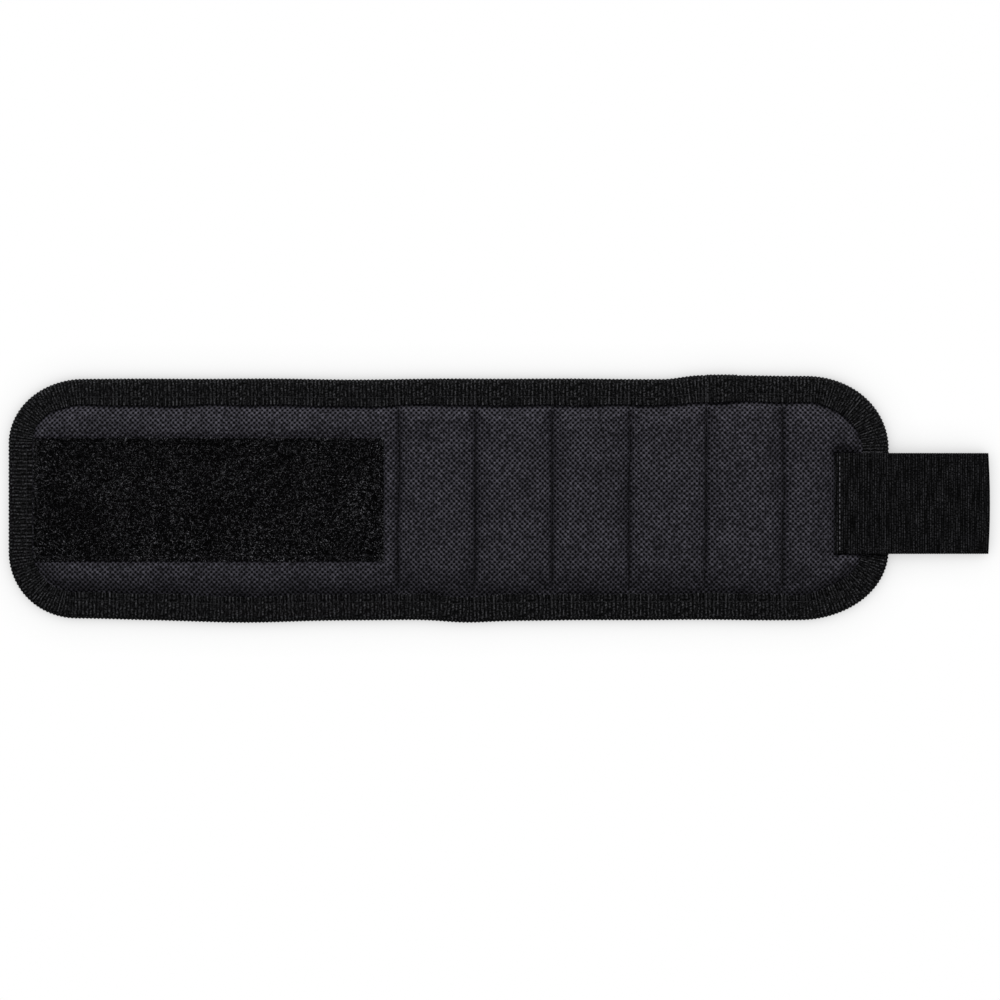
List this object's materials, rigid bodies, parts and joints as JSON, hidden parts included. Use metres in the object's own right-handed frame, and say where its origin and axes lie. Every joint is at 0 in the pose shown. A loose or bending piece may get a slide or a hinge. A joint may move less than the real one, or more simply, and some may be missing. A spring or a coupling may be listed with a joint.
{
  "type": "magnetic wristband",
  "caption": "Flat padded cloth band with sewn cross pockets over magnets, ribbed edge binding, a loop patch and a hook tab; wraps round the wrist to hold small steel parts.",
  "frame": {"origin": "on the table plane under the middle of the whole length, band laid open with its front face up", "axes": "+X along the band towards the hook tab, +Y across it, +Z out of the front face"},
  "size_m": [0.37, 0.091, 0.0075],
  "materials": {
    "front_cloth": "matte woven",
    "back_lining": "matte knit",
    "binding_tape": "ribbed, satin",
    "loop_pile": "matte pile",
    "tab_webbing": "ribbed, satin",
    "hook_field": "fine hooks",
    "magnet": "nickel plated"
  },
  "bodies": {
    "loop_1": {"loop_section_front_1": "front_cloth", "loop_section_back_pad_1": "back_lining", "loop_patch_1": "loop_pile", "binding_loop_end": "binding_tape"},
    "loop_2": {"loop_section_front_2": "front_cloth", "loop_section_back_pad_2": "back_lining", "loop_patch_2": "loop_pile", "binding_loop_top_2": "binding_tape", "binding_loop_bottom_2": "binding_tape"},
    "loop_3": {"loop_section_front_3": "front_cloth", "loop_section_back_pad_3": "back_lining", "loop_patch_3": "loop_pile", "binding_loop_top_3": "binding_tape", "binding_loop_bottom_3": "binding_tape"},
    "loop_4": {"loop_section_front_4": "front_cloth", "loop_section_back_pad_4": "back_lining", "loop_patch_4": "loop_pile", "binding_loop_top_4": "binding_tape", "binding_loop_bottom_4": "binding_tape"},
    "pocket_1": {"pocket_front_1": "front_cloth", "pocket_back_pad_1": "back_lining", "magnet_upper_1": "magnet", "magnet_lower_1": "magnet", "binding_pocket_top_1": "binding_tape", "binding_pocket_bottom_1": "binding_tape"},
    "pocket_2": {"pocket_front_2": "front_cloth", "pocket_back_pad_2": "back_lining", "magnet_upper_2": "magnet", "magnet_lower_2": "magnet", "binding_pocket_top_2": "binding_tape", "binding_pocket_bottom_2": "binding_tape"},
    "pocket_3": {"pocket_front_3": "front_cloth", "pocket_back_pad_3": "back_lining", "magnet_upper_3": "magnet", "magnet_lower_3": "magnet", "binding_pocket_top_3": "binding_tape", "binding_pocket_bottom_3": "binding_tape"},
    "pocket_4": {"pocket_front_4": "front_cloth", "pocket_back_pad_4": "back_lining", "magnet_upper_4": "magnet", "magnet_lower_4": "magnet", "binding_pocket_top_4": "binding_tape", "binding_pocket_bottom_4": "binding_tape"},
    "pocket_5": {"pocket_front_5": "front_cloth", "pocket_back_pad_5": "back_lining", "magnet_upper_5": "magnet", "magnet_lower_5": "magnet", "binding_pocket_top_5": "binding_tape", "binding_pocket_bottom_5": "binding_tape"},
    "end_panel": {"end_front": "front_cloth", "end_back_pad": "back_lining", "binding_tab_end": "binding_tape", "tab_lap": "tab_webbing"},
    "tab": {"tab_flap": "tab_webbing", "hook_patch": "hook_field"}
  },
  "joints": [
    {"name": "seam_3", "type": "hinge", "parent": "pocket_3", "child": "pocket_2", "pos_m": [0.02, 0, 0.00165], "axis": [0, -1, 0], "range_deg": [-30, 34]},
    {"name": "seam_2", "type": "hinge", "parent": "pocket_2", "child": "pocket_1", "pos_m": [-0.009, 0, 0.00165], "axis": [0, -1, 0], "range_deg": [-30, 35]},
    {"name": "seam_1", "type": "hinge", "parent": "pocket_1", "child": "loop_4", "pos_m": [-0.038, 0, 0.00165], "axis": [0, -1, 0], "range_deg": [-30, 41]},
    {"name": "loop_flex_3", "type": "hinge", "parent": "loop_4", "child": "loop_3", "pos_m": [-0.07475, 0, 0], "axis": [0, -1, 0], "range_deg": [-6, 47]},
    {"name": "loop_flex_2", "type": "hinge", "parent": "loop_3", "child": "loop_2", "pos_m": [-0.1115, 0, 0], "axis": [0, -1, 0], "range_deg": [-6, 49]},
    {"name": "loop_flex_1", "type": "hinge", "parent": "loop_2", "child": "loop_1", "pos_m": [-0.14825, 0, 0], "axis": [0, -1, 0], "range_deg": [-6, 51]},
    {"name": "seam_4", "type": "hinge", "parent": "pocket_3", "child": "pocket_4", "pos_m": [0.049, 0, 0.00165], "axis": [0, 1, 0], "range_deg": [-30, 33]},
    {"name": "seam_5", "type": "hinge", "parent": "pocket_4", "child": "pocket_5", "pos_m": [0.078, 0, 0.00165], "axis": [0, 1, 0], "range_deg": [-30, 33]},
    {"name": "seam_6", "type": "hinge", "parent": "pocket_5", "child": "end_panel", "pos_m": [0.107, 0, 0.00165], "axis": [0, 1, 0], "range_deg": [-30, 38]},
    {"name": "tab_bend", "type": "hinge", "parent": "end_panel", "child": "tab", "pos_m": [0.1475, 0, 0.00455], "axis": [0, 1, 0], "range_deg": [-120, 42]}
  ]
}
